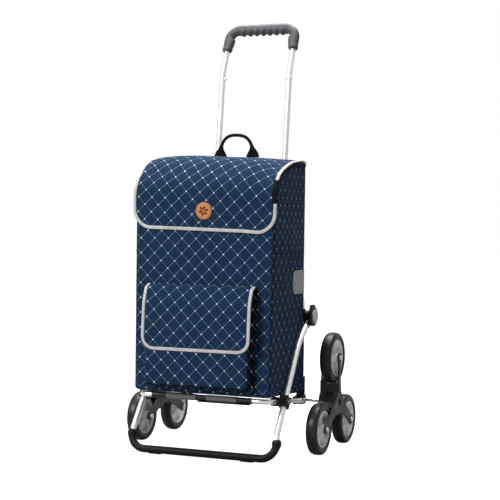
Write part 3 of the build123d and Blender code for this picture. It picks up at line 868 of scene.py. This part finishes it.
def tree_of(piece):
    graph = bpy.context.evaluated_depsgraph_get()
    return BVHTree.FromObject(piece, graph)


# ---------------------------------------------------------------- flaps
def corner_pull(distance, radius):
    """How far a sheet's side edge is drawn in, at that distance from its round-cornered end."""
    if distance >= radius:
        return 0.0
    return radius - sqrt(max(0.0, radius ** 2 - (radius - distance) ** 2))


def flap_sheet(name, profile, half_at, radius, columns, shape, material, twist=0.0):
    """A sheet hung over a profile, with two round corners at its end. twist turns the print on the cut."""
    distances = runs(profile)
    length = distances[-1]
    rows, cuts = [], []
    for point, run in zip(profile, distances):
        half = half_at(point) - corner_pull(length - run, radius)
        row, cut_row = [], []
        for i in range(columns + 1):
            x = half * (2 * i / columns - 1)
            row.append(at(*shape(x, point, run / length)))
            turned = Matrix.Rotation(radians(twist), 2) @ Vector((x * MM, -run * MM))
            cut_row.append(tuple(turned))
        rows.append(row)
        cuts.append(cut_row)
    sheet = add_grid(name, rows, cuts, material)
    face_out(sheet, (0, -1, 0.5))
    return sheet, len(rows), columns + 1, length


def dense_end(path, radius):
    """The same path with closer points near its end, so that round corners stay round."""
    end = path[-1]
    inner = [p for p in path if (p - end).length > radius + 2]
    steps = 14
    return inner + [inner[-1].lerp(end, sin(pi / 2 * i / steps)) for i in range(1, steps + 1)]


def border(piece, rows, columns):
    """Left side, end and right side of a sheet: points and normals."""
    normals = normals_of(piece)
    points = [vertex.co.copy() for vertex in piece.data.vertices]
    count = rows * columns
    order = [*range(0, count, columns), *range(count - columns + 1, count)]
    order += range(count - columns - 1, 0, -columns)
    return [points[i] for i in order], [normals[i] for i in order]


def bind_edge(name, piece, rows, columns, body, wide=4.0, thick=2.1):
    """Pale binding folded over a sheet's edge, with a row of stitches along its inner side."""
    points, normals = border(piece, rows, columns)
    if normals[len(normals) // 2].y > 0:
        normals = [-n for n in normals]
    points, normals = spaced(points, normals, 3.0)
    frames = framed(points, normals)
    inward = 1 if (frames[0][1].x * (-points[0].x)) < 0 else -1
    tape = [(a - inward * (wide - 1.2), b) for a, b in oval(wide, thick, 16, 3.2)]
    roll = skin(name, frames, ring_of(tape), piping_tape)
    aside = -inward * (2 * wide - 2.9)
    threads = stitch_row(name + "_threads", points, normals, aside, thick * 0.94, thread_white)
    for part in (roll, threads):
        put(part, "bag_fabric", body)
    return roll, threads


def left_lift(x):
    """The bag is filled a little higher on its left."""
    return 6.5 * ease(40, -150, x)


def shoulder(x, y):
    """How far the front of the top slopes down to its side edges, more on the right."""
    return (11 * ease(90, 174, x) + 4 * ease(-110, -174, x)) * exp(-((y + 200) / 48) ** 2)


FLAP_HALF = 174.0
FLAP_CORNER = 43
POCKET_FLAP_CORNER = 30


def top_flap_half(point):
    """Half the flap's width: a little wider in front over the corner, drawn in at the back."""
    swell = 3.5 * sin(pi * ease(500, 672, point.z)) * ease(-150, -235, point.y)
    return FLAP_HALF + swell - 1.5 * (1 - ease(518, 560, point.z)) - 15.0 * ease(-190, -15, point.y)


def top_flap_shape(x, point, share):
    """Crowned over the full bag, a little drawn down along its side edges, and slack in front."""
    edge = abs(x) / 175
    along = max(0.0, sin(pi * min(1.0, share / 0.62))) ** 0.8
    crown = along * (11.0 * max(0.0, 1 - abs((x + 25) / 190) ** 2.2) + left_lift(x))
    skew = ease(0.5, 0.9, share) * (4.2 * x / 171 + 0.8)
    droop = 2.0 * edge ** 8
    sway = 0.9 * wave(x, 0, share * 420, 95, 2.0) * (1 - edge ** 4)
    front = ease(0.5, 0.7, share)
    belly = 2.0 * (1 - edge ** 2) * sin(pi * ease(0.55, 1.05, share))
    fall = shoulder(x, point.y) + 3.0 * (1 - ease(0.0, 0.1, share)) * ease(135, 160, abs(x))
    z = point.z + crown - skew - fall + (1 - front) * (sway - droop)
    return x, point.y + front * (droop - 0.5 * sway - belly) + 0.25 * fall, z


def make_main_flap():
    profile = dense_end(top_profile(3.0, 519.0, 5.0), FLAP_CORNER)
    flap, rows, columns, length = flap_sheet("main_flap_sheet", profile, top_flap_half, FLAP_CORNER, 60,
                                             top_flap_shape, cloth, 1.6)
    roll, threads = bind_edge("main_flap_binding", flap, rows, columns, "top_flap")
    badge_parts = make_badge(tree_of(flap))
    label = make_label(flap, rows, columns)
    loop = make_carry_loop(tree_of(flap))
    thicken(flap, 2.0, 0.0, lining)
    put(flap, "bag_fabric", "top_flap", "main_flap")


def make_label(flap, rows, columns):
    """Blank black tab folded round the flap's right-hand binding."""
    points, normals = border(flap, rows, columns)
    right = [(p, n) for p, n in zip(points, normals) if p.x > 0.15 and 580 < p.z / MM < 633]
    path = [p for p, _ in right]
    ups = [n if n.y < 0 else -n for _, n in right]
    points, ups = spaced(path, ups, 2.5)
    frames = framed(points, ups)
    inward = 1 if frames[0][1].x > 0 else -1
    tape = oval(6.6, 2.9, 18, 4)

    def section(distance, share):
        swell = 1 + 0.03 * sin(pi * share)
        return [((a - inward * 3.6) * swell, b * swell) for a, b in tape]
    label = skin("flap_label", frames, section, black_webbing)
    put(label, "webbing", "top_flap")
    return label


def make_badge(tree):
    """Round leather patch with a stitched ring and a plain pressed rosette."""
    low, high = span("flap_badge")
    centre = (low + high) / 2
    hit, normal = touch(tree, (centre.x, -400, centre.z), (0, 1, 0))
    if normal.y > 0:
        normal = -normal
    turn = normal.to_track_quat("Z", "Y").to_matrix().to_4x4()
    place = Matrix.Translation(hit) @ turn
    radius = (high.x - low.x) / 2 * MM
    outline = [(0, 2.2), (0.55, 2.25), (0.8, 2.2), (0.84, 2.0), (0.88, 2.0), (0.92, 2.25), (0.97, 2.1),
               (1.0, 1.5), (1.0, 0.8)]
    steps = 72

    def on_disc(share, lift, c, s):
        return place @ Vector((share * radius * c, share * radius * s, lift * MM))
    verts = [on_disc(max(share, 0.001), lift, c, s) for share, lift in outline for _, c, s in circle(steps)]
    faces = bands(len(outline), steps, flip=True)
    disc = add_mesh("flap_badge_leather", verts, faces, [(v.x, v.z) for v in verts], leather)
    ring = [on_disc(0.86, 2.15, c, s) for _, c, s in circle(48)]
    threads = sew("flap_badge_threads", ring + ring[:1], normal, 0, 0.1, badge_ink, 2.6, 1.7, 0.3)
    petals = rosette(place, radius)
    put(disc, "badge", "top_flap", "flap_badge")
    for part in (threads, petals):
        put(part, "badge", "top_flap")
    return disc, threads, petals


def rosette(place, radius):
    """Six plain petals round a small boss."""
    verts, faces = [], []
    shapes = [(0.31, 0.19, 0.125, tau * k / 6 + 0.26) for k in range(6)] + [(0.0, 0.075, 0.075, 0.0)]
    for reach, long, wide, turn in shapes:
        base = len(verts)
        rings = [(1.0, 2.2), (0.92, 2.5), (0.6, 2.75), (0.02, 2.85)]
        for share, lift in rings:
            for _, c, s in circle(20):
                along, aside = (reach + long * share * c) * radius * 1.25, wide * share * s * radius * 1.25
                x, y = Matrix.Rotation(turn, 2) @ Vector((along, aside))
                verts.append(place @ Vector((x, y, lift * MM)))
        faces += bands(len(rings), 20, base, flip=True)
    return add_mesh("flap_badge_rosette", verts, faces, [(v.x, v.z) for v in verts], badge_ink)


def make_carry_loop(tree):
    """Webbing loop: flat feet stitched to the flap, drawn in to a thin round arch."""
    low, high = span("carry_loop")
    half = (high.x - low.x) / 2 - 12
    base_y = (low.y + high.y) / 2
    feet = [touch(tree, (side * half, base_y, 800), (0, 0, -1))[0].z / MM + 0.4 for side in (-1, 1)]
    low.z = sum(feet) / 2
    rise = high.z - low.z
    path = []
    for i in range(73):
        turn = pi * i / 72
        side = copysign(abs(cos(turn)) ** 0.76, cos(turn))
        path.append(Vector((half * side, base_y, low.z + 1.5 + (rise - 5.0) * sin(turn) ** 0.78)))
    for point in path:
        point.z += lerp(feet[0], feet[1], (point.x / half + 1) / 2) - low.z
    path = even_path(path, 2.0)
    foot_z = low.z

    def section(distance, share):
        point = path[round(share * (len(path) - 1))]
        up = point.z - foot_z
        wide = lerp(16.5, 3.9, ease(2, 31, up))
        thick = lerp(1.5, 2.9, ease(14, 36, up))
        return oval(wide, thick, 20, lerp(5, 2.2, ease(10, 36, up)))
    points = [at(*p) for p in path]
    lift = Vector((0, 1, 0))
    frames = [(p, tangent.cross(lift).normalized(), lift) for p, tangent in zip(points, tangents(points))]
    loop = skin("carry_loop_webbing", frames, section, black_webbing)
    put(loop, "webbing", "top_flap", "carry_loop")
    parts = [loop]
    for side, sign in SIDES.items():
        line = [at(sign * half + lerp(-11, 11, i / 8), base_y - 2.0, foot_z + 6.5) for i in range(9)]
        row = sew("carry_loop_threads_" + side, line, (0, -1, 0), 0, 0, thread_navy, 2.8, 1.9, 0.3)
        put(row, "webbing", "top_flap")
        parts.append(row)
    return parts


# ---------------------------------------------------------------- front pocket
POCKET_LOW, POCKET_HIGH = span("front_pocket")
POCKET_FRONT_Z = 360.0
POCKET_R = 9.0
POCKET_ROOT_Y = -250.0
POCKET_DEPTH = 36.0


def pocket_lean(z):
    """The pocket's front leans back to the bag near its top."""
    return 5.0 * ease(285, 366, z)


def pocket_top(y):
    """Height of the pocket's sloping side tops."""
    return lerp(POCKET_FRONT_Z, POCKET_HIGH.z, (y - POCKET_LOW.y) / (POCKET_HIGH.y - POCKET_LOW.y)) - 1.0


def pocket_plan(half, front):
    """The pocket from above: right side, round corner, front, and the same mirrored on the left."""
    right = [(half, lerp(POCKET_ROOT_Y, front + POCKET_R, i / 8)) for i in range(9)]
    right += [(half - POCKET_R * (1 - c), front + POCKET_R * (1 - s)) for _, c, s in circle(20)[1:6]]
    plan = right + [(lerp(half - POCKET_R, POCKET_R - half, i / 40), front) for i in range(1, 41)]
    return plan + [(-x, y) for x, y in right[-2::-1]]


def pocket_point(x, y, rise, half, front, low):
    """A point of the pocket's cloth. Its front swells and its sides are pinched and flare to the bag."""
    z = lerp(low + 5, pocket_top(y), rise)
    tall = sin(pi * rise) ** 0.7
    across = max(0.0, 1 - (x / half) ** 2)
    out = (3.0 * across * tall + 0.9 * wave(x, 0, z, 60, 9.0) * tall * across) if y < front + 1 else 0
    side = copysign(1.0, x) if abs(x) > half - POCKET_R else 0.0
    pinch = -2.2 * sin(pi * min(1, (y - front) / POCKET_DEPTH)) * side * tall
    flare = 7.0 * ease(front + 6, POCKET_ROOT_Y - 2, y) * side
    lean = pocket_lean(z) * min(1, max(0, (POCKET_ROOT_Y - y) / POCKET_DEPTH))
    on_bag = y > POCKET_ROOT_Y - 2
    return x * 1.012 + pinch + flare, front_y(z) + 0.8 if on_bag else y - out * 0.7 + lean, z


def make_pocket():
    half, front = POCKET_HIGH.x, POCKET_LOW.y
    low = POCKET_LOW.z + 5
    plan = pocket_plan(half, front)
    around = runs(plan)
    rows, cuts = [], []
    levels = 44
    for share in (k / 6 for k in range(7)):
        bottom = [(x, y + 5 * ease(0, 1, (POCKET_ROOT_Y - y) / POCKET_DEPTH)) for x, y in plan]
        rows.append([at(x * (1 - 5 / half), lerp(front_y(low) - 1, y, share), low + 0.6) for x, y in bottom])
        cuts.append([(s * MM, (low - 30 + 30 * share) * MM - 0.12) for s in around])
    for k in range(levels + 1):
        points = [pocket_point(x, y, k / levels, half, front, low) for x, y in plan]
        rows.append([at(*p) for p in points])
        cuts.append([(s * MM, p[2] * MM - 0.12) for s, p in zip(around, points)])
    pocket = add_grid("front_pocket_cloth", rows, cuts, cloth)
    face_outward(pocket)
    thicken(pocket, 1.6, 0.0, lining)
    # painted shade: the pocket's side faces and bottom faces take the dark copy of the cloth, standing in for
    # the shade that falls on them
    pocket.data.materials.append(painted_shade_cloth)
    for face in pocket.data.polygons:
        beside = abs(face.center.x) > (half - 4.5) * MM and face.center.y > at(0, front + 3.5, 0).y
        below = face.center.z < (low + 5.5) * MM
        if beside or below:
            face.material_index = len(pocket.data.materials) - 1
    put(pocket, "bag_fabric", "bag", "front_pocket")
    tape = [(a, b - 3.0) for a, b in oval(1.6, 3.2, 12, 3)]
    band = skin("front_pocket_tape", facing(rows[-1], 0, 0, 1), ring_of(tape), black_webbing)
    put(band, "bag_fabric", "bag")


def pocket_flap_shape(x, point, share):
    edge = abs(x) / 133
    belly = 1.4 * (1 - edge ** 2) * sin(pi * share)
    sway = 0.8 * wave(x, 20, share * 190, 70, 4.0) * share
    lift = 1.5 * edge ** 5 * (1 - ease(0.0, 0.3, share))
    return x, point.y - belly * 0.4 + 0.4 * sway * (1 - edge ** 3), point.z - lift


def make_pocket_flap():
    low, high = span("pocket_flap")
    middle_y = low.y + 1.75
    corners = [(0, high.y - 1.8, high.z - 1.6), (0, high.y - 18, high.z - 9), (0, middle_y + 4.5, 353),
               (0, middle_y, 290), (0, middle_y, low.z + 0.5)]
    profile = dense_end(rounded_path(corners, [16, 34, 120], 4.0), POCKET_FLAP_CORNER)
    flap, rows, columns, length = flap_sheet("pocket_flap_sheet", profile, lambda point: high.x,
                                             POCKET_FLAP_CORNER, 50, pocket_flap_shape, cloth)
    roll, threads = bind_edge("pocket_flap_binding", flap, rows, columns, "pocket_cover", 3.8, 1.9)
    thicken(flap, 2.0, 0.0, lining)
    put(flap, "bag_fabric", "pocket_cover", "pocket_flap")


PATCH_CORNER = 19
PATCH_FORWARD = 18


def make_side_patch(bag_tree, side, sign):
    """A reflective patch with round front corners, laid on the bag's cloth."""
    low, high = span("side_patches")
    low.y -= PATCH_FORWARD
    rows, cuts = [], []
    for z in (lerp(low.z, high.z, j / 16) for j in range(17)):
        pull = max(corner_pull(z - low.z, PATCH_CORNER), corner_pull(high.z - z, PATCH_CORNER))
        line = [lerp(low.y + pull, high.y, i / 22) for i in range(23)]
        rows.append([on_side(bag_tree, sign, y, z) + Vector((sign * 0.8 * MM, 0, 0)) for y in line])
        cuts.append([(y * MM, z * MM) for y in line])
    patch = add_grid("side_patch_" + side, rows, cuts, patch_cloth)
    thicken(patch, 1.2, 0.0)
    put(patch, "patch", "bag", *(["side_patches"] if sign > 0 else []))
    edge = rows[0][::-1] + [r[0] for r in rows[1:]] + rows[-1][1:]
    out = (sign, 0, 0)
    row = sew("side_patch_threads_" + side, edge, out, 2.6 * sign, 0.8, thread_navy, 3.2, 2.1, 0.3)
    put(row, "patch", "bag")


def on_side(bag_tree, sign, y, z):
    """The point of the bag's side cloth at that depth and height."""
    return touch(bag_tree, (sign * 230, y, z), (-sign, 0, 0))[0]


def make_side_seam(bag_tree, side, sign):
    """The stitched cross seam on the bag's side, with a raised black strip over it. The strip's black colour
    is painted shadow under the cloth's ledge at the seam.
    """
    path = [on_side(bag_tree, sign, lerp(-246, -24, i / 40), SEAM_Z - 4.5) for i in range(41)]
    raised = [p + Vector((0, 0, 4.0 * MM)) for p in path]
    section = ring_of(oval(0.9, 1.5, 10, 2.5))
    # painted shadow: the raised strip over the seam is black so that it draws the shadow line under the ledge
    # of the side cloth
    shadow_welt = skin("side_seam_shadow_welt_" + side, facing(raised, sign, 0, 0), section, black_webbing)
    put(shadow_welt, "bag_fabric", "bag")
    seam = sew("side_seam_threads_" + side, path, (sign, 0, 0), 0, 0.2, thread_navy, 3.4, 2.4, 0.35)
    put(seam, "bag_fabric", "bag")


# ---------------------------------------------------------------- mouldings
GRIP_INSET = 14.0
FINGER_PITCH = 17.5


def make_grip():
    """Soft grip: two arms and a thicker bar with finger waves on its underside."""
    high = span("handle_grip")[1]
    bar_z, bar_y = high.z - GRIP_INSET, high.y - GRIP_INSET
    x = 88.0
    lean_low = Vector((x + 1, 57.5, 918.0))
    corner = Vector((x, bar_y, bar_z))
    start = corner.lerp(lean_low, 0.54)
    path = rounded_path([start, corner, Vector((-x, bar_y, bar_z)), Vector((-start.x, start.y, start.z))],
                        [27, 27], 2.0)
    total = runs(path)[-1]

    def section(distance, share):
        point = path[round(share * (len(path) - 1))]
        end = min(distance, total - distance)
        bar = ease(20, 0, abs(point.x) - 58)
        radius = lerp(11.0, 13.0, bar)
        collar = 0.7 * exp(-((end - 6) / 4) ** 2) - 2.2 * ease(4, 0, end)
        finger = 2.2 * cos(tau * point.x / FINGER_PITCH) * bar * ease(64, 54, abs(point.x))
        tab = 4.5 * ease(40, 34, end) * ease(0, 30, end)
        ring = []
        for a, b in oval(radius + collar, radius * 1.04 + collar, 28, 2.2):
            under = ease(0.2, -0.9, b / radius)
            grow = 1 + finger * under / radius
            ring.append((a * grow, b * grow - tab * under))
        return ring
    points = [at(*p) for p in path]
    frames = []
    for point, tangent in zip(points, tangents(points)):
        side = tangent.cross(Vector((0, 1, 0))).normalized()
        frames.append((point, tangent.cross(side), -side))
    grip = skin("grip_moulding", frames, section, grip_rubber)
    put(grip, "grip_rubber", "frame", "handle_grip")


def make_foot_sleeve():
    """Rubber sleeve over the stand's foot, with a bead at each end."""
    corner = Vector((188.0, -247.0, 9.5))
    knee = Vector((178.5, -231.3, 60.0))
    start = knee.lerp(corner, 0.175)
    path = rounded_path([start, corner, Vector((-188.0, -247.0, 9.5)), Vector((-start.x, start.y, start.z))],
                        [35, 35], 2.5)
    total = runs(path)[-1]

    def section(distance, share):
        end = min(distance, total - distance)
        bulge = 2.3 * exp(-((end - 8) / 7) ** 2) - 1.2 * ease(3, 0, end)
        return oval(8.75 + bulge, 8.75 + bulge * 0.9, 24)
    sleeve = skin("foot_sleeve_rubber", facing([at(*p) for p in path], 0, -1, 0.3), section, soft_black)
    put(sleeve, "foot_rubber", "stand", "foot_sleeve")


def make_bar_sleeves():
    """Ribbed sleeves on the platform's front bar, with smooth collars between them."""
    low, high = span("ribbed_sleeves")
    centre = ((low.y + high.y) / 2, (low.z + high.z) / 2)
    radius = (high.z - low.z) / 2
    for side, sign in SIDES.items():
        outline = [(13.0, -1.2)]
        for x in (13.0 + 2.5 * i for i in range(30)):
            outline += [(x, -0.7), (x + 0.5, 0.25), (x + 1.5, 0.25), (x + 2.0, -0.7)]
        outline.append((88.0, -1.2))
        outline = [(sign * x, radius + lift) for x, lift in outline]
        ribs = lathe("bar_ribs_" + side, outline, centre, sleeve_grey, 40)
        smooth_by_angle(ribs, 50)
        put(ribs, "sleeve_plastic", "platform", *(["ribbed_sleeves"] if sign > 0 else []))


# (distance out from the face, share of the radius)
BUTTON_RINGS = [(-7.0, 1.0), (-1.6, 1.0), (-0.7, 0.95), (-0.2, 0.88), (-0.2, 0.74), (-0.9, 0.70),
                (-0.9, 0.64), (-0.1, 0.60), (0.0, 0.52), (-0.4, 0.30), (-0.5, 0.12), (-0.5, 0.0005)]


def make_buttons():
    """Grey release discs with moulded rings."""
    for side, sign in SIDES.items():
        low, high = span("release_button_" + side)
        out = high.x if sign > 0 else low.x
        centre = ((low.y + high.y) / 2, (low.z + high.z) / 2)
        radius = (high.z - low.z) / 2
        outline = [(out + sign * x, radius * share) for x, share in BUTTON_RINGS]
        disc = lathe("release_disc_" + side, outline, centre, knob_grey, 72)
        smooth_by_angle(disc, 40)
        put(disc, "knob_grey", "button_" + side, "release_button_" + side)


# (distance from the wheel's middle plane, radius) down one side of the tyre and up one side of the rim
TYRE_HALF = [(0.7, 60.0), (3.0, 59.95), (6.6, 59.6), (9.8, 58.6), (12.0, 56.9), (13.4, 54.6), (14.0, 51.5),
             (13.4, 48.0), (12.2, 45.0), (11, 43.5), (10.2, 42.2), (8, 41.8)]
RIM_HALF = [(16.6, 4.3), (16.6, 9.8), (16.2, 10.4), (5.0, 12.6), (2.4, 16.0), (2.6, 36.0), (4.0, 37.6),
            (8.5, 38.4), (11.0, 39.6), (11.8, 41.5), (11.6, 43.0)]


def mirrored(outline):
    return [(-x, radius) for x, radius in reversed(outline)]


def wheel_meshes():
    """Tyre and rim about the origin, with the axis along X."""
    left = mirrored(TYRE_HALF)
    tyre = lathe("tyre_shape", left[2:] + TYRE_HALF + left[:3], (0, 0), tyre_black, 96)
    rim = lathe("rim_shape", mirrored(RIM_HALF) + RIM_HALF, (0, 0), rim_grey, 96)
    smooth_by_angle(rim, 32)
    spokes = [spoke_mesh(radians(90 + index * 72)) for index in range(5)]
    return tyre, join("rim_shape", [rim, *spokes])


def spoke_mesh(turn):
    """One raised spoke through the rim: wide at the band, waisted, and rounded on both faces."""
    sections = [(9.5, 5.4, 9.5), (14, 4.6, 8.4), (22, 4.2, 7.4), (30, 4.9, 7.6), (36, 6.6, 8.6),
                (39.5, 8.6, 9.4)]
    ring = [(-1, -0.45), (-0.92, -0.8), (-0.6, -1), (0.6, -1), (0.92, -0.8), (1, -0.45)]
    ring += [(-a, -b) for a, b in ring]
    verts = []
    for reach, half, deep in sections:
        for across, out in [(half * a, deep * b) for a, b in ring]:
            y = reach * cos(turn) - across * sin(turn)
            z = reach * sin(turn) + across * cos(turn)
            verts.append(Vector((out * MM, AXLE_Y + y * MM, z * MM)))
    count = len(ring)
    faces = bands(len(sections), count)
    faces += [tuple(range(count)), tuple(reversed(range(len(verts) - count, len(verts))))]
    spoke = add_mesh("spoke", verts, faces, [(v.y, v.z) for v in verts], rim_grey)
    face_outward(spoke)
    smooth_by_angle(spoke, 35)
    return spoke


def make_wheels():
    tyre, rim = wheel_meshes()
    for part in (tyre, rim):
        part.data.transform(Matrix.Translation((0, -AXLE_Y, 0)))
    for side, sign in SIDES.items():
        for corner in ("top", "front", "rear"):
            low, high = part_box("tyre_" + corner + "_" + side)
            centre = (low + high) / 2
            for kind, shape, slot_name in (("tyre", tyre, "tyre"), ("rim", rim, "rim_plastic")):
                name = kind + "_" + corner + "_" + side
                part = new_object(name + "_wheel", shape.data)
                turn = Matrix.Rotation(0 if sign > 0 else pi, 4, "Z")
                part.matrix_world = Matrix.Translation(centre) @ turn
                put(part, slot_name, "wheel_" + corner + "_" + side, name)
    for part in (tyre, rim):
        bpy.data.objects.remove(part)


make_camera()
make_studio()
paint_frame()
bag = make_bag_body()
bag_tree = tree_of(bag)
for bag_side, bag_sign in SIDES.items():
    make_side_patch(bag_tree, bag_side, bag_sign)
    make_side_seam(bag_tree, bag_side, bag_sign)
make_main_flap()
make_pocket()
make_pocket_flap()
make_grip()
make_foot_sleeve()
make_bar_sleeves()
make_buttons()
make_wheels()
